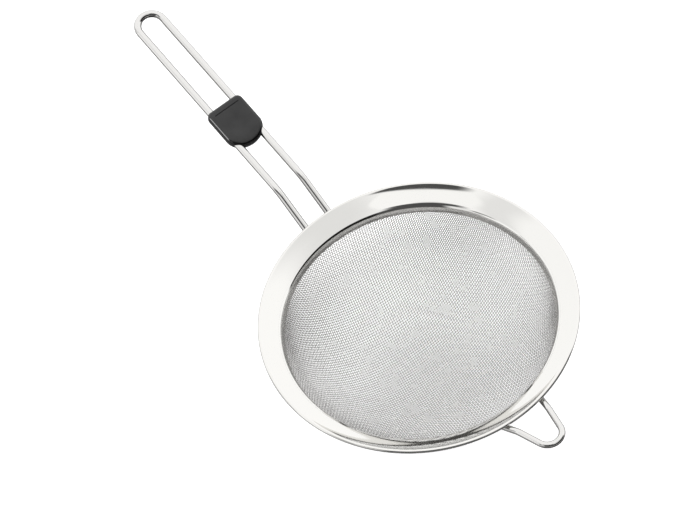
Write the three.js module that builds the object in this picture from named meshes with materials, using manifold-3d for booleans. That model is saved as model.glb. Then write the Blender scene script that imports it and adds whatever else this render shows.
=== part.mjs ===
// Kitchen sieve: a pressed steel rim that carries a bowl of woven wire, a hairpin wire handle with a moulded
// thumb rest, and a wire hook that rests on the far edge of a pot.
// Millimetres, +Z up, +X along the handle, origin in the middle of the rim, level with the underside of its
// hem.
import * as THREE from 'three';
import { mergeVertices } from 'three/addons/utils/BufferGeometryUtils.js';
import Module from 'manifold-3d';

// Driving dimensions: clearance
const FIT = 0.3; // gap between pieces that touch

// Driving dimensions: rim
const RIM_RADIUS = 100; // outside of the hem
const FLANGE_WIDTH = 12.9; // hem to collar, seen from above
const FLANGE_DISH = 6.5; // fall of the flange towards the bowl
const SHEET = 0.8; // thickness of the rim's steel
const HEM_HEIGHT = 2.7; // before its edges are rolled round
const HEM_WIDTH = 2.6;
const HEM_ROUND = 1;
const COLLAR_DROP = 6.6;
const COLLAR_TAPER = 2.6; // how much narrower the collar is at its foot
const COLLAR_ROUND = 1.2; // bend between flange and collar

// Driving dimensions: wire bowl and the band that holds its edge
const BOWL_DEPTH = 72; // collar foot to the underside of the bowl
const CLOTH = 0.9; // two crossing wires
const BAND = 0.8; // thickness of the clamp band
const BAND_ROUND = 0.3;
const CLOTH_BORDER = 3.5; // closed edge of the net, below the collar
const NET_PITCH = 14; // one strand of the net stands for nearly nine wires of the cloth
const NET_STRAND = 7.4; // width of a strand
const NET_TUCK = 4; // length of a strand's end inside the closed edge
const NET_TONGUE = 0.15; // how much deeper a strand's end lies inside the closed edge
const NET_TURN = THREE.MathUtils.degToRad(85.4); // from the handle to the first set of strands, at the bottom
const NET_CROSSING = THREE.MathUtils.degToRad(81.7); // from the first set of strands to the second

// Driving dimensions: handle wire
const HANDLE_WIRE = 5;
const LEG_SPACING = 18.7; // between the middles of the two legs
const HANDLE_WELD = 8.5; // length of leg under the flange
const NECK_RUN = 26.3; // rim to the bend, measured level
const NECK_ANGLE = THREE.MathUtils.degToRad(34.6);
const NECK_BEND = 14;
const WELD_BEND = 9;
const GRIP_ANGLE = THREE.MathUtils.degToRad(17.05);
const GRIP_LENGTH = 157.3; // bend to the far side of the hanging end

// Driving dimensions: rest hook
const HOOK_WIRE = 4;
const HOOK_SPREAD = 27.3; // between the legs where they pass the hem
const HOOK_REACH = 29.2; // rim to the outside of the tip
const HOOK_WELD = 7;
const HOOK_NECK_RUN = 7;
const HOOK_NECK_ANGLE = THREE.MathUtils.degToRad(22);
const HOOK_LIFT_ANGLE = THREE.MathUtils.degToRad(3.3);
const HOOK_TIP_BEND = 8.4;
const HOOK_NECK_BEND = 10;

// Driving dimensions: thumb rest
const REST_START = 36.7; // from the handle's bend to the round end of the thumb rest
const REST_LENGTH = 33.7;
const REST_ROUND_END = 11.3; // length of the round end
const REST_CORNER = 3.8;
const REST_WALL = 1.45; // plastic beside each wire
const REST_SKIN = 1.4; // plastic above and below each wire
const REST_EDGE = 1.1; // rounding of the top and bottom edges
const GROOVE_FROM_END = 5.1;
const GROOVE_LENGTH = 19;
const GROOVE_WIDTH = 0.5;
const GROOVE_DEPTH = 0.4;
const DISH_FROM_START = 15;
const DISH_RADIUS = 9;
const DISH_DEPTH = 0.7;
const POST_DIAMETER = 4.5; // snap posts that hold the two shells together
const POST_SPACING = 14;
const POST_HEIGHT = 2.4;

// Fineness of the round forms
const TURN_STEPS = 72;
const WIRE_SIDES = 12;
const BEND_STEP = THREE.MathUtils.degToRad(15);

const steel = { color: 0xd8d8d5, metalness: 1, roughness: 0.16 };
const wovenSteel = { color: 0xb4b4b2, metalness: 1, roughness: 0.38 };
const blackPlastic = { color: 0x2a2a2b, metalness: 0, roughness: 0.55 };

const sieve = new THREE.Group();
const wasm = await Module();
wasm.setup();

function addPiece(parent, name, geometry, finish) {
  const piece = new THREE.Mesh(geometry, new THREE.MeshStandardMaterial(finish));
  piece.name = name;
  parent.add(piece);
}

function toSolid(geometry) {
  const bare = geometry.clone();
  bare.deleteAttribute('normal');
  bare.deleteAttribute('uv');
  const merged = mergeVertices(bare);
  return new wasm.Manifold(
    new wasm.Mesh({
      numProp: 3,
      vertProperties: new Float32Array(merged.attributes.position.array),
      triVerts: new Uint32Array(merged.index.array),
    }),
  );
}

function toGeometry(solid) {
  const { vertProperties, triVerts } = solid.getMesh();
  const geometry = new THREE.BufferGeometry();
  geometry.setAttribute('position', new THREE.BufferAttribute(vertProperties, 3));
  geometry.setIndex(new THREE.BufferAttribute(triVerts, 1));
  geometry.computeVertexNormals();
  return geometry;
}

// The round bend at a corner: points on an arc of the given radius, and the direction of travel at each.
function bendAt(before, corner, after, radius) {
  const into = corner.clone().sub(before).normalize();
  const out = after.clone().sub(corner).normalize();
  const turn = into.angleTo(out);
  const start = corner.clone().addScaledVector(into, -radius * Math.tan(turn / 2));
  const side = out.clone().addScaledVector(into, -into.dot(out)).normalize();
  const steps = Math.max(1, Math.ceil(turn / BEND_STEP));
  return Array.from({ length: steps + 1 }, (_, i) => {
    const angle = (turn * i) / steps;
    const at = start
      .clone()
      .addScaledVector(into, radius * Math.sin(angle))
      .addScaledVector(side, radius * (1 - Math.cos(angle)));
    const along = into.clone().multiplyScalar(Math.cos(angle)).addScaledVector(side, Math.sin(angle));
    return { at, along };
  });
}

// A wire bent at its corners: straight runs joined by round bends, with sections only where it turns.
class BentWire extends THREE.Curve {
  constructor(corners, bends) {
    super();
    const last = corners.length - 1;
    const direction = (i) => corners[i + 1].clone().sub(corners[i]).normalize();
    const stations = [{ at: corners[0], along: direction(0) }];
    for (let i = 1; i < last; i++) {
      stations.push(...bendAt(corners[i - 1], corners[i], corners[i + 1], bends[i - 1]));
    }
    stations.push({ at: corners[last], along: direction(last - 1) });
    const isNew = (s, i) => i === 0 || s.at.distanceTo(stations[i - 1].at) > FIT / 10;
    this.stations = stations.filter(isNew);
    this.steps = this.stations.length - 1;
  }

  getSpacedPoints() {
    return this.stations.map((s) => s.at);
  }

  getTangentAt(u) {
    return this.stations[Math.round(u * this.steps)].along.clone();
  }
}

function wireGeometry(corners, bends, diameter) {
  const path = new BentWire(corners, bends);
  const section = new THREE.Shape().absarc(0, 0, diameter / 2, 0, 2 * Math.PI);
  return new THREE.ExtrudeGeometry(section, {
    steps: path.steps,
    extrudePath: path,
    curveSegments: WIRE_SIDES / 2,
    bevelEnabled: false,
  });
}

// A turned ring or bowl. Its section is drawn as radius and height, and stands up along +Z.
function turned(section) {
  return new THREE.LatheGeometry(section, TURN_STEPS).rotateX(Math.PI / 2);
}

// The same section with some corners rounded: rounds[i] is the radius at corner i, 0 for a sharp one.
function roundedSection(corners, rounds) {
  const spatial = corners.map((c) => new THREE.Vector3(c.x, c.y, 0));
  const count = corners.length;
  const outline = spatial.flatMap((corner, i) => {
    if (rounds[i] === 0) return [corner];
    const before = spatial[(i + count - 1) % count];
    return bendAt(before, corner, spatial[(i + 1) % count], rounds[i]).map((s) => s.at);
  });
  const flat = outline.map((p) => new THREE.Vector2(p.x, p.y));
  return [...flat, flat[0].clone()];
}

// Heights, from the underside of the hem
const HEM_FOOT = 0;
const RIM_TOP = HEM_FOOT + HEM_HEIGHT;
const FLANGE_INNER = RIM_TOP - FLANGE_DISH;
const COLLAR_FOOT = FLANGE_INNER - COLLAR_DROP;
const BOWL_FOOT = COLLAR_FOOT - BOWL_DEPTH;

// Directions in the rim's section: along the flange and the collar, and out of their hidden faces
const flangeEdge = new THREE.Vector2(RIM_RADIUS - FLANGE_WIDTH, FLANGE_INNER);
const flangeAlong = new THREE.Vector2(FLANGE_WIDTH, FLANGE_DISH).normalize();
const flangeDown = new THREE.Vector2(flangeAlong.y, -flangeAlong.x);
const collarUp = new THREE.Vector2(COLLAR_TAPER, COLLAR_DROP).normalize();
const collarOut = new THREE.Vector2(collarUp.y, -collarUp.x);
const collarFoot = new THREE.Vector2(flangeEdge.x - COLLAR_TAPER, COLLAR_FOOT);

// Height of the flange's underside at a radius
function flangeUnderside(radius) {
  const top = RIM_TOP - ((RIM_RADIUS - radius) * FLANGE_DISH) / FLANGE_WIDTH;
  return top - SHEET / flangeAlong.x;
}

// The corner where two faces meet after both move out by the same distance
function offsetCorner(corner, firstOut, secondOut, distance) {
  const reach = distance / (1 + firstOut.dot(secondOut));
  return corner.clone().addScaledVector(firstOut, reach).addScaledVector(secondOut, reach);
}

function offsetPoint(point, out, distance) {
  return point.clone().addScaledVector(out, distance);
}

const hiddenCorner = offsetCorner(flangeEdge, flangeDown, collarOut, SHEET);

function rimGeometry() {
  const hemInner = RIM_RADIUS - HEM_WIDTH;
  const corners = [
    collarFoot,
    offsetPoint(collarFoot, collarOut, SHEET),
    hiddenCorner,
    new THREE.Vector2(hemInner, flangeUnderside(hemInner)),
    new THREE.Vector2(hemInner, HEM_FOOT),
    new THREE.Vector2(RIM_RADIUS, HEM_FOOT),
    new THREE.Vector2(RIM_RADIUS, RIM_TOP),
    flangeEdge,
  ];
  const rounds = [0, 0, 0, 0, 0, HEM_ROUND, HEM_ROUND, COLLAR_ROUND];
  return turned(roundedSection(corners, rounds));
}

addPiece(sieve, 'rim', rimGeometry(), steel);

// The cloth's edge stands behind the collar, and the band stands behind the cloth. Both start just under the
// bend.
const edgeTop = offsetPoint(hiddenCorner, collarUp, -FIT);
const edgeFoot = offsetPoint(collarFoot, collarOut, SHEET);

function bandGeometry() {
  const gap = FIT + CLOTH + FIT;
  const corners = [
    offsetPoint(edgeFoot, collarOut, gap),
    offsetPoint(edgeFoot, collarOut, gap + BAND),
    offsetPoint(edgeTop, collarOut, gap + BAND),
    offsetPoint(edgeTop, collarOut, gap),
  ];
  return turned(roundedSection(corners, [0, BAND_ROUND, BAND_ROUND, 0]));
}

addPiece(sieve, 'mesh_clamp_ring', bandGeometry(), steel);

// The cloth stands behind the collar, bends at the collar's foot and follows a ball down to the bottom.
const clothStart = offsetPoint(edgeFoot, collarOut, FIT);
const clothBottom = BOWL_FOOT + CLOTH;
const clothDepth = clothStart.y - clothBottom;
const ballRadius = (clothStart.x ** 2 + clothDepth ** 2) / (2 * clothDepth);
const ballMiddle = clothBottom + ballRadius;
const ballAngle = Math.acos(1 - clothDepth / ballRadius);
const netAngle = ballAngle - CLOTH_BORDER / ballRadius;

// A direction from the ball's middle becomes a point on the cloth, at a distance outside its inner face.
function onCloth(direction, offset) {
  const point = direction.clone().setLength(ballRadius + offset);
  point.z += ballMiddle;
  return point;
}

const toBottom = new THREE.Vector3(0, 0, -1);

function angleFromBottom(direction) {
  return toBottom.angleTo(direction);
}

// The cloth's closed edge in section: it covers the ends of the strands.
function borderLine(offset) {
  const ballOut = new THREE.Vector2(Math.sin(ballAngle), -Math.cos(ballAngle));
  const onBall = (angle) => {
    const point = onCloth(new THREE.Vector3(Math.sin(angle), 0, -Math.cos(angle)), offset);
    return new THREE.Vector2(point.x, point.z);
  };
  return [
    offsetPoint(edgeTop, collarOut, FIT + offset),
    offsetCorner(clothStart, collarOut, ballOut, offset),
    onBall(netAngle),
    onBall(netAngle - NET_TUCK / ballRadius),
  ];
}

// The crossings of a net that is draped on the ball and keeps its strands' spacing, as directions from the
// ball's middle. The two strands through the bottom are great circles. Every other crossing is the mirror
// image of its diagonal neighbour, in the plane through the ball's middle and the two crossings between them.
function drapedNet() {
  const step = NET_PITCH / ballRadius;
  const count = Math.ceil(netAngle / step) + 1;
  const crossings = new Map();
  const at = (i, j) => crossings.get(`${i},${j}`);
  const put = (i, j, direction) => crossings.set(`${i},${j}`, { i, j, direction });
  const onCircle = (turn, angle) =>
    new THREE.Vector3(Math.cos(turn), Math.sin(turn), 0)
      .multiplyScalar(Math.sin(angle))
      .addScaledVector(toBottom, Math.cos(angle));
  for (let k = -count; k <= count; k++) {
    put(k, 0, onCircle(NET_TURN, k * step));
    put(0, k, onCircle(NET_TURN + NET_CROSSING, k * step));
  }
  const isNear = (crossing) => crossing && angleFromBottom(crossing.direction) < netAngle + 2 * step;
  const fillQuarter = (signI, signJ) => {
    for (let i = 1; i <= count; i++) {
      for (let j = 1; j <= count; j++) {
        const besideI = at(signI * i, signJ * (j - 1));
        const besideJ = at(signI * (i - 1), signJ * j);
        if (!isNear(besideI) || !isNear(besideJ)) continue;
        const mirror = besideI.direction.clone().cross(besideJ.direction).normalize();
        const diagonal = at(signI * (i - 1), signJ * (j - 1)).direction;
        put(signI * i, signJ * j, diagonal.clone().reflect(mirror));
      }
    }
  };
  fillQuarter(1, 1);
  fillQuarter(1, -1);
  fillQuarter(-1, 1);
  fillQuarter(-1, -1);
  return { at, all: [...crossings.values()] };
}

// The sides of a crossing in turn: where its next crossing is, and the corners that the strand starts from
const NET_SIDES = [
  { next: [1, 0], corners: [[1, 1], [1, -1]] },
  { next: [0, 1], corners: [[-1, 1], [1, 1]] },
  { next: [-1, 0], corners: [[-1, -1], [-1, 1]] },
  { next: [0, -1], corners: [[1, -1], [-1, -1]] },
];

// Strands and the blocks where they cross, as one closed skin of four-sided faces
function netGeometry() {
  const net = drapedNet();
  const half = NET_STRAND / 2 / ballRadius;
  const lastCrossing = netAngle - (NET_TUCK + NET_STRAND / 2) / ballRadius;
  const isInside = (crossing) => crossing && angleFromBottom(crossing.direction) < lastCrossing;
  const positions = [];
  const face = (...corners) => {
    for (const k of [0, 1, 2, 0, 2, 3]) positions.push(...corners[k].toArray());
  };
  const station = (direction, tongue) => ({
    inner: onCloth(direction, tongue),
    outer: onCloth(direction, CLOTH - tongue),
  });

  // Corner of a block: where the edges of its two strands meet
  const corner = ({ i, j, direction }, [sideI, sideJ]) => {
    const alongI = net.at(i + 1, j).direction.clone().sub(net.at(i - 1, j).direction).normalize();
    const alongJ = net.at(i, j + 1).direction.clone().sub(net.at(i, j - 1).direction).normalize();
    const reach = half / Math.sin(alongI.angleTo(alongJ));
    const moved = direction.clone().addScaledVector(alongI, sideI * reach);
    return station(moved.addScaledVector(alongJ, sideJ * reach).normalize(), 0);
  };

  const strand = (a, b, c, d) => {
    face(a.outer, d.outer, c.outer, b.outer);
    face(b.inner, c.inner, d.inner, a.inner);
    face(a.inner, d.inner, d.outer, a.outer);
    face(b.outer, c.outer, c.inner, b.inner);
  };

  // Where a strand ends inside the closed edge: on its way to the next crossing, or straight out from it
  const strandEnd = (from, to) => {
    const start = angleFromBottom(from);
    const end = angleFromBottom(to);
    if (end > netAngle) return from.clone().lerp(to, (netAngle - start) / (end - start)).normalize();
    const level = new THREE.Vector3(to.x, to.y, 0).normalize();
    return level.multiplyScalar(Math.sin(netAngle)).addScaledVector(toBottom, Math.cos(netAngle));
  };

  for (const crossing of net.all.filter(isInside)) {
    const block = [[-1, 1], [1, 1], [1, -1], [-1, -1]].map((place) => corner(crossing, place));
    face(...block.map((p) => p.outer));
    face(...block.map((p) => p.inner).reverse());
    NET_SIDES.forEach(({ next, corners }, side) => {
      const other = net.at(crossing.i + next[0], crossing.j + next[1]);
      const [a, b] = corners.map((place) => corner(crossing, place));
      if (!isInside(other)) {
        const end = strandEnd(crossing.direction, other.direction);
        const across = end.clone().cross(end.clone().sub(crossing.direction)).setLength(half);
        const c = station(end.clone().add(across).normalize(), NET_TONGUE);
        const d = station(end.clone().sub(across).normalize(), NET_TONGUE);
        strand(a, b, c, d);
        face(c.outer, d.outer, d.inner, c.inner);
      } else if (side < NET_SIDES.length / 2) {
        const opposite = NET_SIDES[side + NET_SIDES.length / 2];
        const [c, d] = opposite.corners.map((place) => corner(other, place));
        strand(a, b, c, d);
      }
    });
  }
  const geometry = new THREE.BufferGeometry();
  geometry.setAttribute('position', new THREE.Float32BufferAttribute(positions, 3));
  return geometry;
}

function bowlGeometry() {
  const outside = borderLine(CLOTH);
  const border = turned([...outside.toReversed(), ...borderLine(0), outside.at(-1)]);
  return toGeometry(toSolid(netGeometry()).add(toSolid(border)));
}

addPiece(sieve, 'mesh_bowl', bowlGeometry(), wovenSteel);

// Height of a wire's middle where it passes under the hem while it climbs at the given angle
function underHem(diameter, angle) {
  return HEM_FOOT - (diameter / 2 + FIT) / Math.cos(angle);
}

// Height of a wire's middle where its welded end lies against the flange
function underFlange(diameter, radius) {
  return flangeUnderside(radius) - (diameter / 2 + FIT) / flangeAlong.x;
}

// Handle: one wire, from one welded end up the leg, round the hanging end and back
const legSide = LEG_SPACING / 2;
const hemCrossing = Math.sqrt(RIM_RADIUS ** 2 - legSide ** 2);
const neckFoot = underHem(HANDLE_WIRE, NECK_ANGLE);
const gripBend = new THREE.Vector3(hemCrossing + NECK_RUN, 0, neckFoot + NECK_RUN * Math.tan(NECK_ANGLE));

function handleGeometry() {
  const weldX = hemCrossing - HANDLE_WELD;
  const weldZ = underFlange(HANDLE_WIRE, Math.hypot(weldX, legSide));
  const gripLine = GRIP_LENGTH - HANDLE_WIRE / 2;
  const leg = [
    [weldX, weldZ],
    [hemCrossing, neckFoot],
    [gripBend.x, gripBend.z],
    [gripBend.x + gripLine * Math.cos(GRIP_ANGLE), gripBend.z + gripLine * Math.sin(GRIP_ANGLE)],
  ];
  const oneLeg = leg.map(([x, z]) => new THREE.Vector3(x, legSide, z));
  const otherLeg = leg.map(([x, z]) => new THREE.Vector3(x, -legSide, z)).reverse();
  const bends = [WELD_BEND, NECK_BEND, legSide, legSide, NECK_BEND, WELD_BEND];
  return wireGeometry([...oneLeg, ...otherLeg], bends, HANDLE_WIRE);
}

addPiece(sieve, 'handle_wire', handleGeometry(), steel);

// Hook: its legs draw together until they meet the round tip
function hookGeometry() {
  const side = HOOK_SPREAD / 2;
  const hemX = Math.sqrt(RIM_RADIUS ** 2 - side ** 2);
  const tipMiddle = RIM_RADIUS + HOOK_REACH - HOOK_WIRE / 2 - HOOK_TIP_BEND;
  const away = tipMiddle - hemX;
  const drawIn = Math.atan2(side, away) - Math.asin(HOOK_TIP_BEND / Math.hypot(side, away));
  const apexX = tipMiddle + HOOK_TIP_BEND / Math.sin(drawIn);
  const legAt = (distance) => side - (distance - hemX) * Math.tan(drawIn);
  const weldX = hemX - HOOK_WELD;
  const weldZ = underFlange(HOOK_WIRE, Math.hypot(weldX, legAt(weldX)));
  const hemZ = underHem(HOOK_WIRE, HOOK_NECK_ANGLE);
  const neckX = hemX + HOOK_NECK_RUN;
  const neckZ = hemZ + HOOK_NECK_RUN * Math.tan(HOOK_NECK_ANGLE);
  const apexZ = neckZ + (apexX - neckX) * Math.tan(HOOK_LIFT_ANGLE);
  const leg = [
    [weldX, weldZ],
    [hemX, hemZ],
    [neckX, neckZ],
  ];
  const oneLeg = leg.map(([x, z]) => new THREE.Vector3(-x, legAt(x), z));
  const otherLeg = leg.map(([x, z]) => new THREE.Vector3(-x, -legAt(x), z)).reverse();
  const apex = new THREE.Vector3(-apexX, 0, apexZ);
  const bends = [HOOK_NECK_BEND, HOOK_NECK_BEND, HOOK_TIP_BEND, HOOK_NECK_BEND, HOOK_NECK_BEND];
  return wireGeometry([...oneLeg, apex, ...otherLeg], bends, HOOK_WIRE);
}

addPiece(sieve, 'rest_hook', hookGeometry(), steel);

// Thumb rest: modelled flat, along +X from the handle's bend, with the wires' middles at height 0
const thumbRest = new THREE.Group();
thumbRest.position.copy(gripBend);
thumbRest.rotation.y = -GRIP_ANGLE;
sieve.add(thumbRest);

const restHalfWidth = legSide + HANDLE_WIRE / 2 + FIT + REST_WALL;
const restHalfHeight = HANDLE_WIRE / 2 + FIT + REST_SKIN;
const restEnd = REST_START + REST_LENGTH;

// The outline seen from above: square at the hanging end with rounded corners, round at the bowl end
function restOutline(inset) {
  const half = restHalfWidth - inset;
  const end = restEnd - inset;
  const roundX = REST_START + REST_ROUND_END;
  const corner = REST_CORNER - inset;
  const outline = new THREE.Shape();
  outline.moveTo(roundX, -half);
  outline.lineTo(end - corner, -half);
  outline.absarc(end - corner, -half + corner, corner, -Math.PI / 2, 0);
  outline.absarc(end - corner, half - corner, corner, 0, Math.PI / 2);
  outline.lineTo(roundX, half);
  outline.absellipse(roundX, 0, REST_ROUND_END - inset, half, Math.PI / 2, (3 * Math.PI) / 2);
  return outline;
}

function restBlock() {
  return new THREE.ExtrudeGeometry(restOutline(REST_EDGE), {
    depth: 2 * (restHalfHeight - REST_EDGE),
    bevelThickness: REST_EDGE,
    bevelSize: REST_EDGE,
    bevelSegments: 3,
    curveSegments: 8,
  }).translate(0, 0, REST_EDGE - restHalfHeight);
}

function wireChannel(y) {
  const tool = new THREE.CylinderGeometry(
    HANDLE_WIRE / 2 + FIT,
    HANDLE_WIRE / 2 + FIT,
    2 * REST_LENGTH,
    2 * WIRE_SIDES,
  );
  return tool.rotateZ(Math.PI / 2).translate(REST_START + REST_LENGTH / 2, y, 0);
}

// A shallow round scoop in the top face, under the thumb
function dishTool() {
  const ball = (DISH_RADIUS ** 2 + DISH_DEPTH ** 2) / (2 * DISH_DEPTH);
  const widest = Math.asin(DISH_RADIUS / ball);
  const rings = 4;
  const section = Array.from({ length: rings + 1 }, (_, i) => {
    const angle = (widest * i) / rings;
    return new THREE.Vector2(ball * Math.sin(angle), ball - DISH_DEPTH - ball * Math.cos(angle));
  });
  section.push(new THREE.Vector2(DISH_RADIUS, DISH_DEPTH), new THREE.Vector2(0, DISH_DEPTH));
  return new THREE.LatheGeometry(section, 2 * WIRE_SIDES)
    .rotateX(Math.PI / 2)
    .translate(REST_START + DISH_FROM_START, 0, restHalfHeight);
}

function grooveTool() {
  return new THREE.BoxGeometry(GROOVE_WIDTH, GROOVE_LENGTH, 2 * GROOVE_DEPTH).translate(
    restEnd - GROOVE_FROM_END,
    0,
    restHalfHeight,
  );
}

// One half of the space, from the parting plane outwards
function halfSpace(direction) {
  const height = 2 * restHalfHeight;
  return new THREE.BoxGeometry(3 * restEnd, 4 * restHalfWidth, height).translate(
    0,
    0,
    direction * (height / 2 + FIT / 2),
  );
}

// A snap post stands on the lower shell, and its socket in the upper shell is larger by the clearance
function snapPost(place, clearance) {
  const middle = REST_START + REST_LENGTH / 2;
  const foot = -restHalfHeight + REST_SKIN;
  const top = FIT / 2 + POST_HEIGHT + clearance;
  return new THREE.CylinderGeometry(
    POST_DIAMETER / 2 + clearance,
    POST_DIAMETER / 2 + clearance,
    top - foot,
    WIRE_SIDES,
  )
    .rotateX(Math.PI / 2)
    .translate(middle + (place * POST_SPACING) / 2, 0, (top + foot) / 2);
}

const postPlaces = [-1, 1];
const channels = [-legSide, legSide].map((y) => toSolid(wireChannel(y)));
const hollowRest = channels.reduce((solid, tool) => solid.subtract(tool), toSolid(restBlock()));
const postCuts = [dishTool(), grooveTool(), ...postPlaces.map((place) => snapPost(place, FIT))];
const upperRest = postCuts.reduce(
  (solid, tool) => solid.subtract(toSolid(tool)),
  hollowRest.intersect(toSolid(halfSpace(1))),
);
const lowerRest = postPlaces.reduce(
  (solid, place) => solid.add(toSolid(snapPost(place, 0))),
  hollowRest.intersect(toSolid(halfSpace(-1))),
);

addPiece(thumbRest, 'clip_top_shell', toGeometry(upperRest), blackPlastic);
addPiece(thumbRest, 'clip_bottom_shell', toGeometry(lowerRest), blackPlastic);

export default sieve;
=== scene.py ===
import math

import bmesh
import bpy
from mathutils import Matrix, Vector


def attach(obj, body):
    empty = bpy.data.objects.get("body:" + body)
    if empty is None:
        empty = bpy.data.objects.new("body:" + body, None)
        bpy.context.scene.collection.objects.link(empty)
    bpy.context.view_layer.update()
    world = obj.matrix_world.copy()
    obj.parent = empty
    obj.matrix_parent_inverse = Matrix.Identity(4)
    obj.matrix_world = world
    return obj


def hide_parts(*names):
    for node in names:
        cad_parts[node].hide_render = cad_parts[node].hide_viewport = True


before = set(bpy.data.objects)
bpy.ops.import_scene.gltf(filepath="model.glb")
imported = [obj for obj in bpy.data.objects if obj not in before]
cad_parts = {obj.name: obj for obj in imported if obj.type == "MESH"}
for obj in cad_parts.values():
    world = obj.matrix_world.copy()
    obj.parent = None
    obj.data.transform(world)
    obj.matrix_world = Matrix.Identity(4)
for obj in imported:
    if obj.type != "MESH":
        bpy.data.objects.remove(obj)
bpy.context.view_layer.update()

# Camera: at the photograph's viewing angle, a long lens that looks down over the rest hook and is turned a
# little about its own axis.
MM = 0.001
CAMERA_LENS = 100  # for Blender's own 36 mm sensor
CAMERA_TARGET = Vector((59.8, 5.9, -1.4)) * MM
CAMERA_DISTANCE = 1231.7 * MM
CAMERA_AZIMUTH = math.radians(151.66)
CAMERA_ELEVATION = math.radians(54.09)
CAMERA_ROLL = math.radians(-13.22)


def towards(azimuth, elevation):
    """The unit vector that points that way from the middle of the sieve."""
    level = math.cos(elevation)
    return Vector((level * math.cos(azimuth), level * math.sin(azimuth), math.sin(elevation)))


camera = bpy.data.objects.new("camera", bpy.data.cameras.new("camera"))
camera.data.lens = CAMERA_LENS
to_camera = towards(CAMERA_AZIMUTH, CAMERA_ELEVATION)
looking = (-to_camera).to_track_quat("-Z", "Y").to_matrix().to_4x4()
camera.matrix_world = (
    Matrix.Translation(CAMERA_TARGET + to_camera * CAMERA_DISTANCE)
    @ looking
    @ Matrix.Rotation(CAMERA_ROLL, 4, "Z")
)
bpy.context.collection.objects.link(camera)
bpy.context.scene.camera = camera

# Rim: one ring pressed from stainless steel sheet and polished bright. Its dished flange is rolled to a hem
# outside and turned down inside to the collar that the wire cloth is clamped to.
RIM_RADIUS = 100
FLANGE_EDGE = 86.0  # radius of the corner between the flange and the collar
LOW_SLOPE = math.radians(30.9)  # the flange is least steep here and gets steeper to both sides
LOW_RADIUS = 91.4
END_SLOPE = math.radians(36.4)  # where the flange runs into the roll
FLANGE_STRIPS = 20
SHEET = 0.8
HEM_ROLL = 1.25  # outside radius of the rolled edge
HEM_LEVEL = 1.03  # height of the middle of the roll
HEM_ROLL_ANGLE = math.radians(290)
HEM_ROLL_STEPS = 40
COLLAR_FOOT = Vector((84.5, -10.4))  # radius and height
COLLAR_BEND = 2.0
COLLAR_BEND_STEPS = 16
LIP_ROUND = 0.25  # at the cut edges of the sheet
LIP_STEPS = 4
RIM_STEPS = 256
SHARP_EDGE = 35  # degrees; a sharper edge isn't shaded as a smooth one
NEAR = 0.01  # points that are closer than this are taken as one
STEEL = "#e4e3e0"


def linear(colour):
    """An sRGB hex colour as the linear red, green, blue and alpha that shaders take."""
    parts = [int(colour[i : i + 2], 16) / 255 for i in (1, 3, 5)]
    return [c / 12.92 if c <= 0.04045 else ((c + 0.055) / 1.055) ** 2.4 for c in parts] + [1]


def add_node(tree, kind, settings, inputs):
    """Adds a shader node with its settings; an input is a value or the output that is linked to it."""
    node = tree.nodes.new("ShaderNode" + kind)
    for name, value in settings.items():
        setattr(node, name, value)
    for socket, value in inputs.items():
        if isinstance(value, bpy.types.NodeSocket):
            tree.links.new(value, node.inputs[socket])
        else:
            node.inputs[socket].default_value = value
    return node


def new_material(name, colour, metallic, roughness):
    """A material with its own node tree, whose even values are set on the shader itself."""
    material = bpy.data.materials.new(name)
    material.use_nodes = True
    surface = material.node_tree.nodes["Principled BSDF"]
    surface.inputs["Base Color"].default_value = linear(colour)
    surface.inputs["Metallic"].default_value = metallic
    surface.inputs["Roughness"].default_value = roughness
    return material, material.node_tree, surface


def patchy_roughness(tree, place, patch, detail, noise_range, roughness_range):
    """A roughness that changes from patch to patch of the surface, with patches of a size in millimetres."""
    patches = add_node(tree, "TexNoise", {}, {"Vector": place, "Scale": 1 / (patch * MM), "Detail": detail})
    spread = {
        "Value": patches.outputs[0],
        "From Min": noise_range[0],
        "From Max": noise_range[1],
        "To Min": roughness_range[0],
        "To Max": roughness_range[1],
    }
    return add_node(tree, "MapRange", {}, spread).outputs[0]


def put_piece(bm, name, material, sharp_edge=SHARP_EDGE):
    """Makes a smooth object in metres of a bmesh in millimetres, and keeps its sharp edges."""
    bmesh.ops.scale(bm, vec=(MM, MM, MM), verts=bm.verts)
    mesh = bpy.data.meshes.new(name)
    for face in bm.faces:
        face.smooth = True
    bm.to_mesh(mesh)
    bm.free()
    mesh.set_sharp_from_angle(angle=math.radians(sharp_edge))
    mesh.materials.append(material)
    piece = bpy.data.objects.new(name, mesh)
    bpy.context.collection.objects.link(piece)
    return piece


def draw_line(bm, corners):
    """Draws a line in the plane through the sieve's axis: its corners are radius and height."""
    verts = [bm.verts.new((radius, 0, height)) for radius, height in corners]
    for pair in zip(verts, verts[1:]):
        bm.edges.new(pair)
    return verts


def turn_ring(bm):
    """Spins the drawn section once round the sieve's axis."""
    bmesh.ops.spin(
        bm,
        geom=bm.verts[:] + bm.edges[:],
        cent=(0, 0, 0),
        axis=(0, 0, 1),
        angle=math.tau,
        steps=RIM_STEPS,
        use_merge=True,
    )
    bmesh.ops.recalc_face_normals(bm, faces=bm.faces)


def round_ring(bm, corner, offset, segments):
    """Bevels the turned edge that runs through a corner of the section."""
    def on_corner(vert):
        here = Vector((vert.co.xy.length, vert.co.z))
        return (here - Vector(corner)).length < NEAR

    edges = [edge for edge in bm.edges if all(on_corner(vert) for vert in edge.verts)]
    bmesh.ops.bevel(
        bm, geom=edges, offset=offset, segments=segments, profile=0.5, affect="EDGES", material=-1
    )


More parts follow.
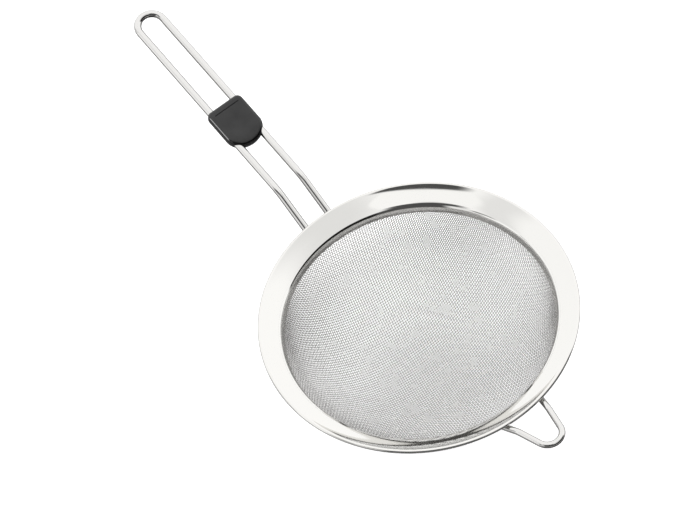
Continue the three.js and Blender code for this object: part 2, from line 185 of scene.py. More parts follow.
# Polished stainless sheet: bright and mirror-like, with faint rings left by the polishing wheel and a slight
# haze that differs from place to place. The rings are drawn coarser than real ones so that they show.
POLISH_RING = 0.5
POLISH_DEPTH = 0.05
SHEET_HAZE = 22
sheet_steel, tree, surface = new_material("polished_stainless_sheet", STEEL, 1, 0.07)
place = add_node(tree, "TexCoord", {}, {}).outputs["Object"]
flat_place = add_node(tree, "VectorMath", {"operation": "MULTIPLY"}, {0: place, 1: (1, 1, 0)})
from_axis = add_node(tree, "VectorMath", {"operation": "LENGTH"}, {0: flat_place.outputs[0]})
rings = add_node(
    tree,
    "TexNoise",
    {"noise_dimensions": "1D"},
    {"W": from_axis.outputs["Value"], "Scale": 1 / (POLISH_RING * MM), "Detail": 2},
)
bump = add_node(
    tree, "Bump", {}, {"Strength": 0.03, "Distance": POLISH_DEPTH * MM, "Height": rings.outputs[0]}
)
haze = patchy_roughness(tree, place, SHEET_HAZE, 4, (0.35, 0.7), (0.03, 0.07))
tree.links.new(bump.outputs[0], surface.inputs["Normal"])
tree.links.new(haze, surface.inputs["Roughness"])

roll_middle = Vector((RIM_RADIUS - HEM_ROLL, HEM_LEVEL))
flange_end = roll_middle + HEM_ROLL * Vector((-math.sin(END_SLOPE), math.cos(END_SLOPE)))
end_reach = flange_end.x - LOW_RADIUS
flange_curve = (math.tan(END_SLOPE) - math.tan(LOW_SLOPE)) / (3 * end_reach**2)


def flange_rise(reach):
    """How much the flange rises from its least steep place over a reach outwards."""
    return math.tan(LOW_SLOPE) * reach + flange_curve * reach**3


def flange_top(radius):
    """Height of the flange's bright face at a radius."""
    return flange_end.y - flange_rise(end_reach) + flange_rise(radius - LOW_RADIUS)


strip = (flange_end.x - FLANGE_EDGE) / FLANGE_STRIPS
flange_radii = [FLANGE_EDGE + k * strip for k in range(FLANGE_STRIPS + 1)]
flange_line = [Vector((radius, flange_top(radius))) for radius in flange_radii]
flange_along = (flange_line[1] - flange_line[0]).normalized()
flange_down = Vector((flange_along.y, -flange_along.x))
collar_up = (flange_line[0] - COLLAR_FOOT).normalized()
collar_out = Vector((collar_up.y, -collar_up.x))
hidden_corner = flange_line[0] + (flange_down + collar_out) * (SHEET / (1 + flange_down.dot(collar_out)))
bm = bmesh.new()
section = draw_line(bm, [hidden_corner, COLLAR_FOOT + collar_out * SHEET, COLLAR_FOOT] + flange_line)
rolled = bmesh.ops.spin(
    bm,
    geom=section[-1:],
    cent=(roll_middle.x, 0, roll_middle.y),
    axis=(0, 1, 0),
    angle=HEM_ROLL_ANGLE,
    steps=HEM_ROLL_STEPS,
)["geom_last"]
bm.edges.new((rolled[0], section[0]))
turn_ring(bm)
round_ring(bm, flange_line[0], COLLAR_BEND, COLLAR_BEND_STEPS)
round_ring(bm, COLLAR_FOOT, LIP_ROUND, LIP_STEPS)
rim = put_piece(bm, "rim_pressed_ring", sheet_steel)
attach(rim, "root")
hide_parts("rim")

# Clamp ring: a band of the same steel outside the collar. It is pressed inwards all round, so that it pinches
# the edge of the wire cloth against the collar.
FIT = 0.3  # clearance between pieces that touch
CLOTH = 0.9  # thickness of the wire cloth, which lies between the collar and the band
BAND = 0.8
edge_top = hidden_corner - collar_up * FIT
edge_foot = COLLAR_FOOT + collar_out * SHEET
band_inner = collar_out * (FIT + CLOTH + FIT)
band_outer = band_inner + collar_out * BAND
band_corners = [
    edge_foot + band_inner,
    edge_foot + band_outer,
    edge_top + band_outer,
    edge_top + band_inner,
]
bm = bmesh.new()
band_line = draw_line(bm, band_corners)
bm.edges.new((band_line[-1], band_line[0]))
turn_ring(bm)
for corner in band_corners:
    round_ring(bm, corner, LIP_ROUND, LIP_STEPS)
clamp_ring = put_piece(bm, "clamp_band", sheet_steel)
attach(clamp_ring, "root")
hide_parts("mesh_clamp_ring")

# Bowl: plain weave of stainless wire, one wire over and one under, cut from flat cloth and pressed into a
# ball-shaped bowl. The wires keep their spacing and only turn at the crossings, so the weave shears outwards.
WEAVE_PITCH = 1.63
WEAVE_WIRE = 0.45
WEAVE_TURN = math.radians(85.4)  # from the handle to the first set of wires, at the bottom
WEAVE_CROSSING = math.radians(81.7)  # from the first set of wires to the second
CRIMP_FLAT = 0.2  # half the level part of a crimp, in pitches
SPARE_WIRES = 2  # worked out past the edge of the cloth, where nothing is made of them
SPARE_PITCHES = 3
BOWL_DEPTH = 72
CLOTH_STEEL = "#e6e5e4"
cloth_start = edge_foot + collar_out * FIT
cloth_bottom = COLLAR_FOOT.y - BOWL_DEPTH + CLOTH
cloth_depth = cloth_start.y - cloth_bottom
ball_radius = (cloth_start.x**2 + cloth_depth**2) / (2 * cloth_depth)
ball_middle = cloth_bottom + ball_radius
ball_angle = math.acos(1 - cloth_depth / ball_radius)
edge_height = (edge_top - edge_foot).length
cloth_angle = ball_angle + edge_height / ball_radius
weave_step = WEAVE_PITCH / ball_radius
DOWN = Vector((0, 0, -1))

# Drawn stainless wire in the cloth: bright, but dulled a little by the pressing and by handling.
CLOTH_STAIN = 9
cloth_steel, tree, surface = new_material("woven_stainless_wire", CLOTH_STEEL, 1, 0.22)
place = add_node(tree, "TexCoord", {}, {}).outputs["Object"]
stain = patchy_roughness(tree, place, CLOTH_STAIN, 5, (0.3, 0.7), (0.18, 0.3))
tree.links.new(stain, surface.inputs["Roughness"])


def drape_weave():
    """Crossings of the draped weave as directions from the ball's middle, by wire number in each set."""
    count = math.ceil(cloth_angle / weave_step) + SPARE_WIRES
    limit = math.cos(min(math.pi, cloth_angle + SPARE_PITCHES * weave_step))
    crossings = {}

    def on_circle(turn, angle):
        level = Vector((math.cos(turn), math.sin(turn), 0))
        return level * math.sin(angle) + DOWN * math.cos(angle)

    for k in range(-count, count + 1):
        crossings[k, 0] = on_circle(WEAVE_TURN, k * weave_step)
        crossings[0, k] = on_circle(WEAVE_TURN + WEAVE_CROSSING, k * weave_step)
    for side_i in (1, -1):
        for side_j in (1, -1):
            for i in range(1, count + 1):
                for j in range(1, count + 1):
                    beside_i = crossings.get((side_i * i, side_j * (j - 1)))
                    beside_j = crossings.get((side_i * (i - 1), side_j * j))
                    if beside_i is None or beside_j is None:
                        continue
                    mirror = beside_i.cross(beside_j).normalized()
                    diagonal = crossings[side_i * (i - 1), side_j * (j - 1)]
                    crossing = diagonal.reflect(mirror)
                    if crossing.dot(DOWN) > limit:
                        crossings[side_i * i, side_j * j] = crossing
    return crossings


def on_cloth(direction, height):
    """A point of the cloth, at a height over its middle layer: on the ball, or behind the collar."""
    angle = direction.angle(DOWN)
    outside = CLOTH / 2 - height
    if angle <= ball_angle:
        return direction * (ball_radius + outside) + Vector((0, 0, ball_middle))
    up = min((angle - ball_angle) * ball_radius, edge_height)
    edge = cloth_start + collar_up * up + collar_out * outside
    level = Vector((direction.x, direction.y)).normalized()
    return Vector((level.x * edge.x, level.y * edge.x, edge.y))


crossings = drape_weave()
crimp = (CLOTH - WEAVE_WIRE) / 2
last_angle = cloth_angle - WEAVE_WIRE / ball_radius


def wire_points(line, sign):
    """A crimped wire through neighbouring crossings: level where it passes over or under another wire."""
    points = []
    for k, (number, direction) in enumerate(line):
        before = line[max(k - 1, 0)][1]
        after = line[min(k + 1, len(line) - 1)][1]
        along = (after - before).normalized() * weave_step * CRIMP_FLAT
        height = crimp * sign * (-1) ** number
        points += [on_cloth((direction + along * s).normalized(), height) for s in (-1, 1)]
    return points


def put_wires(name, lines):
    """A set of woven wires as one curve with a round bevel, in metres."""
    curve = bpy.data.curves.new(name, "CURVE")
    curve.dimensions = "3D"
    curve.bevel_depth = WEAVE_WIRE / 2 * MM
    curve.bevel_resolution = 1
    curve.use_fill_caps = True
    for points in lines:
        spline = curve.splines.new("POLY")
        spline.points.add(len(points) - 1)
        spline.points.foreach_set("co", [c for p in points for c in (*(p * MM), 1)])
    curve.materials.append(cloth_steel)
    piece = bpy.data.objects.new(name, curve)
    bpy.context.collection.objects.link(piece)
    return piece


def weave_lines(wire_set):
    """The wires of one set, each as the list of its points from edge to edge of the cloth."""
    wires = {}
    for (i, j), direction in crossings.items():
        if direction.angle(DOWN) < last_angle:
            number, other = (i, j) if wire_set == 0 else (j, i)
            wires.setdefault(number, []).append((other, direction))
    sign = 1 if wire_set == 0 else -1
    lines = []
    for number in sorted(wires):
        line = sorted(wires[number], key=lambda crossing: crossing[0])
        if len(line) > 1:
            lines.append(wire_points(line, sign * (-1) ** number))
    return lines


SET_NAMES = ("warp", "weft")
BUNDLES = 3  # each set is kept as three bundles of wires
for wire_set, set_name in enumerate(SET_NAMES):
    lines = weave_lines(wire_set)
    size = math.ceil(len(lines) / BUNDLES)
    for bundle in range(BUNDLES):
        chosen = lines[bundle * size : (bundle + 1) * size]
        wires = put_wires(f"{set_name}_wires_{bundle + 1}", chosen)
        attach(wires, "root")
        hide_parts("mesh_bowl")

# Handle: one drawn stainless wire bent to a hairpin. Its two ends are welded under the flange, and its round
# end is the loop that the sieve hangs on.
HANDLE_WIRE = 5
LEG_SPACING = 18.7
HANDLE_WELD = 8.5  # length of the welded end inside the hem
NECK_RUN = 26.3  # from the hem to the bend where the grip starts
NECK_ANGLE = math.radians(34.6)
NECK_BEND = 30
WELD_BEND = 9
GRIP_ANGLE = math.radians(17.05)
GRIP_LENGTH = 157.3
WIRE_STEEL = "#dbdad8"
WIRE_SIDES = 32
WIRE_SHARP_EDGE = 60
BEND_STEP = math.radians(4)

# Polished stainless wire: mirror-bright, with faint lines along it from the drawing die.
DRAW_LINE = 0.35
DRAW_STRETCH = 50  # a drawing line is this many times as long as it is wide
DRAW_DEPTH = 0.03
WIRE_HAZE = 14
wire_steel, tree, surface = new_material("drawn_stainless_wire", WIRE_STEEL, 1, 0.1)
place = add_node(tree, "TexCoord", {}, {}).outputs["Object"]
along_grip = add_node(
    tree,
    "Mapping",
    {},
    {"Vector": place, "Rotation": (0, GRIP_ANGLE, 0), "Scale": (1 / DRAW_STRETCH, 1, 1)},
)
draw = add_node(
    tree, "TexNoise", {}, {"Vector": along_grip.outputs[0], "Scale": 1 / (DRAW_LINE * MM), "Detail": 2}
)
bump = add_node(
    tree, "Bump", {}, {"Strength": 0.05, "Distance": DRAW_DEPTH * MM, "Height": draw.outputs[0]}
)
haze = patchy_roughness(tree, place, WIRE_HAZE, 4, (0.35, 0.7), (0.07, 0.14))
tree.links.new(bump.outputs[0], surface.inputs["Normal"])
tree.links.new(haze, surface.inputs["Roughness"])


def bend_wire(corners, bends, diameter):
    """Drives a round end face along straight runs and round bends, as a wire is bent on a former."""
    bm = bmesh.new()
    start = (corners[1] - corners[0]).normalized()
    facing = start.to_track_quat("Z", "Y").to_matrix().to_4x4()
    bmesh.ops.create_circle(
        bm,
        cap_ends=True,
        segments=WIRE_SIDES,
        radius=diameter / 2,
        matrix=Matrix.Translation(corners[0]) @ facing,
    )
    ring = bm.edges[:]
    here = corners[0]

    def push(ring, way):
        made = bmesh.ops.extrude_edge_only(bm, edges=ring)["geom"]
        verts = [part for part in made if isinstance(part, bmesh.types.BMVert)]
        bmesh.ops.translate(bm, vec=way, verts=verts)
        return [part for part in made if isinstance(part, bmesh.types.BMEdge)]

    for before, corner, after, bend in zip(corners, corners[1:], corners[2:], bends):
        into = (corner - before).normalized()
        out = (after - corner).normalized()
        turn = into.angle(out)
        bend_start = corner - into * bend * math.tan(turn / 2)
        if (bend_start - here).length > NEAR:
            ring = push(ring, bend_start - here)
        axis = into.cross(out).normalized()
        inward = axis.cross(into)
        made = bmesh.ops.spin(
            bm,
            geom=ring + list({vert for edge in ring for vert in edge.verts}),
            cent=bend_start + inward * bend,
            axis=axis,
            angle=turn,
            steps=math.ceil(turn / BEND_STEP),
        )["geom_last"]
        ring = [part for part in made if isinstance(part, bmesh.types.BMEdge)]
        here = corner + out * bend * math.tan(turn / 2)
    ring = push(ring, corners[-1] - here)
    bmesh.ops.holes_fill(bm, edges=ring, sides=0)
    bmesh.ops.recalc_face_normals(bm, faces=bm.faces)
    return bm


def under_hem(diameter, angle):
    """Height of a wire's middle where it passes under the hem while it climbs at the angle."""
    return -(diameter / 2 + FIT) / math.cos(angle)


def under_flange(diameter, at_radius):
    """Height of a wire's middle where its welded end lies against the flange."""
    return flange_top(at_radius) - (SHEET + diameter / 2 + FIT) / flange_along.x


leg_side = LEG_SPACING / 2
hem_crossing = math.sqrt(RIM_RADIUS**2 - leg_side**2)
neck_foot = under_hem(HANDLE_WIRE, NECK_ANGLE)
grip_bend = Vector((hem_crossing + NECK_RUN, 0, neck_foot + NECK_RUN * math.tan(NECK_ANGLE)))
grip_along = Vector((math.cos(GRIP_ANGLE), 0, math.sin(GRIP_ANGLE)))
weld_x = hem_crossing - HANDLE_WELD
leg = [
    Vector((weld_x, 0, under_flange(HANDLE_WIRE, math.hypot(weld_x, leg_side)))),
    Vector((hem_crossing, 0, neck_foot)),
    grip_bend,
    grip_bend + grip_along * (GRIP_LENGTH - HANDLE_WIRE / 2),
]
aside = Vector((0, leg_side, 0))
hairpin = [corner + aside for corner in leg] + [corner - aside for corner in reversed(leg)]
hairpin_bends = [WELD_BEND, NECK_BEND, leg_side, leg_side, NECK_BEND, WELD_BEND]
bm = bend_wire(hairpin, hairpin_bends, HANDLE_WIRE)
handle = put_piece(bm, "hairpin_handle", wire_steel, WIRE_SHARP_EDGE)
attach(handle, "root")
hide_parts("handle_wire")

# Rest hook: a thinner wire of the same steel, bent to a loop and welded under the flange opposite the handle.
# Its legs draw together until they meet the round tip.
HOOK_WIRE = 4
HOOK_SPREAD = 27.3  # between the legs where they pass the hem
HOOK_REACH = 29.2  # of the tip past the rim
HOOK_WELD = 7
HOOK_NECK_RUN = 7
HOOK_NECK_ANGLE = math.radians(22)
HOOK_LIFT_ANGLE = math.radians(3.3)
HOOK_TIP_BEND = 8.4
HOOK_NECK_BEND = 10
hook_side = HOOK_SPREAD / 2
hook_hem = math.sqrt(RIM_RADIUS**2 - hook_side**2)
tip_middle = RIM_RADIUS + HOOK_REACH - HOOK_WIRE / 2 - HOOK_TIP_BEND
tip_away = tip_middle - hook_hem
draw_in = math.atan2(hook_side, tip_away) - math.asin(HOOK_TIP_BEND / math.hypot(hook_side, tip_away))
apex_x = tip_middle + HOOK_TIP_BEND / math.sin(draw_in)


def hook_leg(distance, height):
    """A corner of the hook's leg on the +Y side, at a distance from the sieve's axis."""
    return Vector((-distance, hook_side - (distance - hook_hem) * math.tan(draw_in), height))


hook_weld = hook_hem - HOOK_WELD
hook_neck = hook_hem + HOOK_NECK_RUN
hem_z = under_hem(HOOK_WIRE, HOOK_NECK_ANGLE)
neck_z = hem_z + HOOK_NECK_RUN * math.tan(HOOK_NECK_ANGLE)
weld_z = under_flange(HOOK_WIRE, hook_leg(hook_weld, 0).length)
one_leg = [hook_leg(hook_weld, weld_z), hook_leg(hook_hem, hem_z), hook_leg(hook_neck, neck_z)]
other_leg = [Vector((corner.x, -corner.y, corner.z)) for corner in reversed(one_leg)]
apex = Vector((-apex_x, 0, neck_z + (apex_x - hook_neck) * math.tan(HOOK_LIFT_ANGLE)))
hook_bends = [HOOK_NECK_BEND, HOOK_NECK_BEND, HOOK_TIP_BEND, HOOK_NECK_BEND, HOOK_NECK_BEND]
bm = bend_wire(one_leg + [apex] + other_leg, hook_bends, HOOK_WIRE)
hook = put_piece(bm, "rest_hook_loop", wire_steel, WIRE_SHARP_EDGE)
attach(hook, "root")
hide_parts("rest_hook")

# Thumb rest: two moulded shells of black plastic that snap together round both legs of the handle. The upper
# one has a shallow dish for the thumb and a fine groove across its square end.
REST_START = 36.7  # along the grip, from the bend at the neck
REST_LENGTH = 33.7
REST_ROUND_END = 11.3
REST_CORNER = 3.8
REST_HALF_WIDTH = 13.6
REST_HALF_HEIGHT = 4.2
REST_OUTLINE_STEPS = 40
REST_CORNER_STEPS = 8
UPPER_EDGE = 2.4  # how far the edges of the shells are rounded
LOWER_EDGE = 3.2
EDGE_STEPS = 6
PARTING_GAP = 0.3
CHANNEL_RADIUS = 2.8
CHANNEL_SIDES = 48
GROOVE_FROM_END = 5.1
GROOVE_LENGTH = 19
GROOVE_WIDTH = 0.5
GROOVE_DEPTH = 0.4
GROOVE_ROUND = 0.24
GROOVE_STEPS = 4
DISH_FROM_START = 15  # the dish for the thumb
DISH_RADIUS = 9
DISH_DEPTH = 0.7
ROUND_FALL = 1.3  # how far the top drops to the round end, and to the square one
ROUND_FALL_LENGTH = 9
SQUARE_FALL = 0.5
CUT_SPACING = 1.1  # of the net of cuts that lets the top face take the dish
CUT_MARGIN = 1e-4
PLASTIC = "#111112"
# base colour of the sides: painted shade, darker than the top
PLASTIC_SIDE_PAINTED_SHADE = "#0b0b0c"
rest_end = REST_START + REST_LENGTH
rest_place = Matrix.Translation(grip_bend) @ Matrix.Rotation(-GRIP_ANGLE, 4, "Y")

# Moulded black plastic: the mould is eroded where it makes the top, which is matt, and left bright where
# it makes the sides, which are glossy. The sides also get a darker base colour than the top by the way they
# face: painted shade. The top's soft grey sheen is partly its roughness and partly this painted light.
MOULD_GRAIN = 0.4
MOULD_GRAIN_DEPTH = 0.04
RUBBED_PATCH = 8
SIDE_LIFT = 0.8  # share of the top's direction at which a face still counts as side, and as top
TOP_LIFT = 0.97
SIDE_ROUGHNESS = 0.16
SIDE_GRAIN = 0.02
TOP_GRAIN = 0.25
PLASTIC_SPECULAR = 0.65
black_plastic, tree, surface = new_material("moulded_black_plastic", PLASTIC, 0, 0.5)
surface.inputs["Specular IOR Level"].default_value = PLASTIC_SPECULAR
place = add_node(tree, "TexCoord", {}, {}).outputs["Object"]
grain = add_node(tree, "TexNoise", {}, {"Vector": place, "Scale": 1 / (MOULD_GRAIN * MM), "Detail": 3})
rubbed = patchy_roughness(tree, place, RUBBED_PATCH, 3, (0.3, 0.7), (0.42, 0.56))
normal = add_node(tree, "NewGeometry", {}, {}).outputs["Normal"]
upward = rest_place.to_3x3() @ Vector((0, 0, 1))
lift = add_node(tree, "VectorMath", {"operation": "DOT_PRODUCT"}, {0: normal, 1: upward})
on_top = add_node(
    tree, "MapRange", {}, {"Value": lift.outputs["Value"], "From Min": SIDE_LIFT, "From Max": TOP_LIFT}
).outputs[0]
# painted shade: faces that turn from the top towards the sides get the darker side colour
colour = add_node(
    tree, "Mix", {"data_type": "RGBA"}, {0: on_top, 6: linear(PLASTIC_SIDE_PAINTED_SHADE), 7: linear(PLASTIC)}
)
grain_strength = add_node(tree, "Mix", {"data_type": "FLOAT"}, {0: on_top, 2: SIDE_GRAIN, 3: TOP_GRAIN})
bump = add_node(
    tree,
    "Bump",
    {},
    {
        "Strength": grain_strength.outputs[0],
        "Distance": MOULD_GRAIN_DEPTH * MM,
        "Height": grain.outputs[0],
    },
)
matt = add_node(tree, "Mix", {"data_type": "FLOAT"}, {0: on_top, 2: SIDE_ROUGHNESS, 3: rubbed})
tree.links.new(colour.outputs[2], surface.inputs["Base Color"])
tree.links.new(bump.outputs[0], surface.inputs["Normal"])
tree.links.new(matt.outputs[0], surface.inputs["Roughness"])


def rest_shell(rounding):
    """A closed shell above the parting plane: outline, height, rounded upper edge and a net of cuts."""
    bm = bmesh.new()
    round_x = REST_START + REST_ROUND_END
    first = bm.verts.new((round_x, REST_HALF_WIDTH, 0))
    bmesh.ops.spin(
        bm,
        geom=[first],
        cent=(round_x, 0, 0),
        axis=(0, 0, 1),
        angle=math.pi,
        steps=REST_OUTLINE_STEPS,
    )
    to_round = Matrix.Translation((round_x, 0, 0))
    flatten = Matrix.Diagonal((REST_ROUND_END / REST_HALF_WIDTH, 1, 1, 1))
    bmesh.ops.transform(bm, matrix=to_round @ flatten @ to_round.inverted(), verts=bm.verts)
    last = min(bm.verts, key=lambda vert: vert.co.y)
    corners = [bm.verts.new((rest_end, side * REST_HALF_WIDTH, 0)) for side in (-1, 1)]
    for pair in ((last, corners[0]), corners, (corners[1], first)):
        bm.edges.new(pair)
    bmesh.ops.bevel(
        bm,
        geom=corners,
        offset=REST_CORNER,
        segments=REST_CORNER_STEPS,
        profile=0.5,
        affect="VERTICES",
        material=-1,
    )
    foot = bmesh.ops.contextual_create(bm, geom=bm.edges[:])["faces"]
    raised = bmesh.ops.extrude_face_region(bm, geom=foot, use_keep_orig=True)["geom"]
    height = REST_HALF_HEIGHT - PARTING_GAP / 2
    top = [part for part in raised if isinstance(part, bmesh.types.BMFace)]
    bmesh.ops.translate(
        bm, vec=(0, 0, height), verts=[part for part in raised if isinstance(part, bmesh.types.BMVert)]
    )
    bmesh.ops.recalc_face_normals(bm, faces=bm.faces)
    bmesh.ops.bevel(
        bm,
        geom=[edge for face in top for edge in face.edges],
        offset=rounding,
        segments=EDGE_STEPS,
        profile=0.5,
        affect="EDGES",
        material=-1,
    )
    bmesh.ops.translate(bm, vec=(0, 0, PARTING_GAP / 2), verts=bm.verts)
    for axis, low, high in ((0, REST_START, rest_end), (1, -REST_HALF_WIDTH, REST_HALF_WIDTH)):
        count = round((high - low) / CUT_SPACING)
        for k in range(1, count):
            at = Vector((0, 0, 0))
            at[axis] = low + (high - low) * k / count
            across = Vector((0, 0, 0))
            across[axis] = 1
            bmesh.ops.bisect_plane(
                bm,
                geom=bm.verts[:] + bm.edges[:] + bm.faces[:],
                plane_co=at,
                plane_no=across,
                dist=CUT_MARGIN,
            )
    return bm


def cut_away(piece, cutter_bm):
    """Cuts a tool, drawn in the thumb rest's own millimetres, out of a piece."""
    bmesh.ops.recalc_face_normals(cutter_bm, faces=cutter_bm.faces)
    bmesh.ops.transform(cutter_bm, matrix=rest_place, verts=cutter_bm.verts)
    cutter = put_piece(cutter_bm, "cutter", black_plastic)
    cut = piece.modifiers.new("cut", "BOOLEAN")
    cut.object = cutter
    cut.solver = "EXACT"
    bpy.context.view_layer.update()
    whole = piece.evaluated_get(bpy.context.evaluated_depsgraph_get())
    piece.data = bpy.data.meshes.new_from_object(whole)
    piece.modifiers.clear()
    bpy.data.objects.remove(cutter)


def wire_channel(side):
    """A round bar along one leg of the handle."""
    bm = bmesh.new()
    rest_middle = REST_START + REST_LENGTH / 2
    lying = Matrix.Translation((rest_middle, side * leg_side, 0)) @ Matrix.Rotation(math.pi / 2, 4, "Y")
    bmesh.ops.create_cone(
        bm,
        cap_ends=True,
        segments=CHANNEL_SIDES,
        radius1=CHANNEL_RADIUS,
        radius2=CHANNEL_RADIUS,
        depth=2 * REST_LENGTH,
        matrix=lying,
    )
    return bm


def groove_bar():
    """A thin bar with round ends, half sunk in the top face."""
    bm = bmesh.new()
    size = Matrix.Diagonal((GROOVE_WIDTH, GROOVE_LENGTH, 2 * GROOVE_DEPTH, 1))
    bmesh.ops.create_cube(
        bm, size=1, matrix=Matrix.Translation((groove_x, 0, REST_HALF_HEIGHT)) @ size
    )
    upright = [edge for edge in bm.edges if abs(edge.verts[0].co.z - edge.verts[1].co.z) > GROOVE_DEPTH]
    bmesh.ops.bevel(
        bm,
        geom=upright,
        offset=GROOVE_ROUND,
        segments=GROOVE_STEPS,
        profile=0.5,
        affect="EDGES",
        material=-1,
    )
    return bm


dish_middle = Vector((REST_START + DISH_FROM_START, 0))
groove_x = rest_end - GROOVE_FROM_END
bm = rest_shell(UPPER_EDGE)
for vert in bm.verts:
    dish = DISH_DEPTH * max(0, 1 - ((vert.co.xy - dish_middle).length / DISH_RADIUS) ** 2) ** 2
    round_end = ROUND_FALL * max(0, 1 - (vert.co.x - REST_START) / ROUND_FALL_LENGTH) ** 2
    square_end = SQUARE_FALL * max(0, (vert.co.x - groove_x) / GROOVE_FROM_END)
    vert.co.z -= (dish + round_end + square_end) * vert.co.z / REST_HALF_HEIGHT
bmesh.ops.transform(bm, matrix=rest_place, verts=bm.verts)
upper_rest = put_piece(bm, "thumb_rest_upper", black_plastic)
bm = rest_shell(LOWER_EDGE)
bmesh.ops.scale(bm, vec=(1, 1, -1), verts=bm.verts)
bmesh.ops.recalc_face_normals(bm, faces=bm.faces)
bmesh.ops.transform(bm, matrix=rest_place, verts=bm.verts)
lower_rest = put_piece(bm, "thumb_rest_lower", black_plastic)
for side in (-1, 1):
    cut_away(upper_rest, wire_channel(side))
    cut_away(lower_rest, wire_channel(side))
cut_away(upper_rest, groove_bar())
for shell, node in ((upper_rest, "clip_top_shell"), (lower_rest, "clip_bottom_shell")):
    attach(shell, "root")
    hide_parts(node)

# Floor: a pale sheet that the bowl stands on. It glows so that it shows plain white, and glows less in a disc
# under the bowl: a painted shadow of the bowl. It isn't mirrored in the steel, which shows the studio.
FLOOR_SIZE = 6000
FLOOR_GAP = 0.1
SHADE_MIDDLE = Vector((42, -23, 0)) * MM
SHADE_CORE = 68  # radius of the full shade, and the radius at which it ends
SHADE_END = 98
GLOW_IN_SHADE = 0.32
GLOW = 0.6
floor_material, tree, surface = new_material("glowing_floor_painted_shadow", "#f6f6f6", 0, 0.6)
surface.inputs["Emission Color"].default_value = linear("#ffffff")
place = add_node(tree, "TexCoord", {}, {}).outputs["Object"]
flat_place = add_node(tree, "VectorMath", {"operation": "MULTIPLY"}, {0: place, 1: (1, 1, 0)})
away = add_node(tree, "VectorMath", {"operation": "DISTANCE"}, {0: flat_place.outputs[0], 1: SHADE_MIDDLE})
# painted shadow: the glow is weaker within SHADE_CORE of SHADE_MIDDLE and full past SHADE_END
glow = add_node(
    tree,
    "MapRange",
    {"interpolation_type": "SMOOTHSTEP"},
    {
        "Value": away.outputs["Value"],
        "From Min": SHADE_CORE * MM,
        "From Max": SHADE_END * MM,
        "To Min": GLOW_IN_SHADE,
        "To Max": GLOW,
    },
)
tree.links.new(glow.outputs[0], surface.inputs["Emission Strength"])
bm = bmesh.new()
bmesh.ops.create_grid(bm, x_segments=1, y_segments=1, size=FLOOR_SIZE / 2)
bmesh.ops.translate(bm, vec=(0, 0, COLLAR_FOOT.y - BOWL_DEPTH - FLOOR_GAP), verts=bm.verts)
floor = put_piece(bm, "floor", floor_material)
floor.visible_glossy = False

# Light: a white studio tent all round, a little brighter on the right. The steel mirrors its dark openings
# and dimmer panels as dark lines. A lamp on the left is shielded, so that it lights the thumb rest alone.
TENT_LEFT = 1.17
TENT_RIGHT = 1.24
TABLE = 0.3  # brightness below the horizon
HORIZON_TOP = -0.05  # the tent runs out into the table between these two heights of a unit direction
HORIZON_FOOT = -0.25
SOFT_EDGE = 0.08
IN_FRONT = 0.01
PANELS = (
    # azimuth that a flat panel faces; at a distance of one, half its width, its low and high edges and half
    # the width of its soft rim at the sides; brightness
    (203, 0.7, 0.9, 2.4, 0.55, 0.95),
    (70, 0.22, 0.8, 1.5, 0.15, 0.98),
    (133, 0.78, -0.14, 1.81, 0.2, 0.09),
    (104, 0.2, 0.1, 0.65, 0.08, 1.0),
    (90, 0.14, 0.3, 0.85, 0.05, 0.05),
    (51, 0.21, 0.2, 0.4, 0.05, 0.05),
    (202, 0.8, -0.14, 0.85, 0.08, 0.02),
    (202, 0.8, -0.45, -0.14, 0.08, 0.45),
    (202, 0.8, -2.5, -0.45, 0.08, 0.02),
    (135, 0.6, -0.45, -0.14, 0.08, 0.45),
    (135, 0.6, -2.5, -0.45, 0.08, 0.02),
)
LAMP_AZIMUTH = math.radians(62)
LAMP_ELEVATION = math.radians(20.6)
LAMP_DISTANCE = 0.9
LAMP_SIZE = 0.3
LAMP_BRIGHTNESS = 6  # where plain white is 1
SMOOTH = {"interpolation_type": "SMOOTHSTEP"}
NUMBERS = {"data_type": "FLOAT"}
world = bpy.data.worlds.new("studio_tent")
bpy.context.scene.world = world
world.use_nodes = True
tree = world.node_tree
direction = add_node(tree, "TexCoord", {}, {}).outputs["Generated"]
axes = add_node(tree, "SeparateXYZ", {}, {0: direction})
side_to_side = {"From Min": -1, "From Max": 1, "To Min": TENT_RIGHT, "To Max": TENT_LEFT}
tent = add_node(tree, "MapRange", {}, {"Value": axes.outputs["Y"], **side_to_side})
below = add_node(
    tree,
    "MapRange",
    SMOOTH,
    {"Value": axes.outputs["Z"], "From Min": HORIZON_TOP, "From Max": HORIZON_FOOT},
)
studio = add_node(tree, "Mix", NUMBERS, {0: below.outputs[0], 2: tent.outputs[0], 3: TABLE})
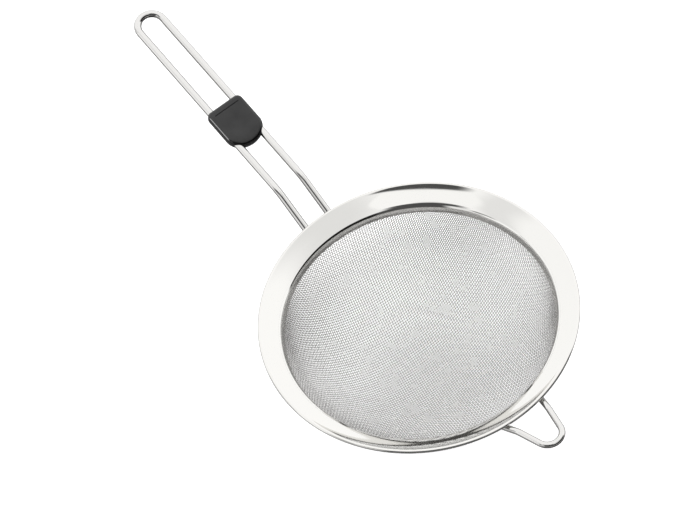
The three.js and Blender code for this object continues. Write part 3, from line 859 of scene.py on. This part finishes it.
for azimuth, half_width, low, high, soft_side, brightness in PANELS:
    to_panel = (0, 0, -math.radians(azimuth))
    turned = add_node(tree, "Mapping", {}, {"Vector": direction, "Rotation": to_panel})
    ahead, sideways, up = add_node(tree, "SeparateXYZ", {}, {0: turned.outputs[0]}).outputs
    across = add_node(tree, "Math", {"operation": "DIVIDE"}, {0: sideways, 1: ahead})
    aside = add_node(tree, "Math", {"operation": "ABSOLUTE"}, {0: across.outputs[0]})
    height = add_node(tree, "Math", {"operation": "DIVIDE"}, {0: up, 1: ahead})
    rims = (
        (ahead, 0, IN_FRONT),
        (aside.outputs[0], half_width + soft_side, half_width - soft_side),
        (height.outputs[0], low - SOFT_EDGE, low + SOFT_EDGE),
        (height.outputs[0], high + SOFT_EDGE, high - SOFT_EDGE),
    )
    inside = 1
    for value, outer, inner in rims:
        share = add_node(tree, "MapRange", SMOOTH, {"Value": value, "From Min": outer, "From Max": inner})
        both = add_node(tree, "Math", {"operation": "MULTIPLY"}, {0: inside, 1: share.outputs[0]})
        inside = both.outputs[0]
    studio = add_node(tree, "Mix", NUMBERS, {0: inside, 2: studio.outputs[0], 3: brightness})
seen = add_node(tree, "LightPath", {}, {}).outputs["Is Camera Ray"]
backdrop = add_node(tree, "Mix", NUMBERS, {0: seen, 2: studio.outputs[0], 3: TENT_LEFT})
tree.links.new(backdrop.outputs[0], tree.nodes["Background"].inputs["Strength"])
tree.nodes["Background"].inputs["Color"].default_value = linear("#ffffff")
lamp = bpy.data.objects.new("lamp", bpy.data.lights.new("lamp", "AREA"))
lamp.data.size = LAMP_SIZE
lamp.data.energy = LAMP_BRIGHTNESS * math.pi * LAMP_SIZE**2
to_lamp = towards(LAMP_AZIMUTH, LAMP_ELEVATION)
towards_sieve = to_lamp.to_track_quat("Z", "Y").to_matrix().to_4x4()
lamp.matrix_world = Matrix.Translation(to_lamp * LAMP_DISTANCE) @ towards_sieve
bpy.context.collection.objects.link(lamp)
lit_by_lamp = bpy.data.collections.new("lit_by_lamp")
for shell in (upper_rest, lower_rest):
    lit_by_lamp.objects.link(shell)
lamp.light_linking.receiver_collection = lit_by_lamp
bpy.context.scene.view_settings.view_transform = "Standard"
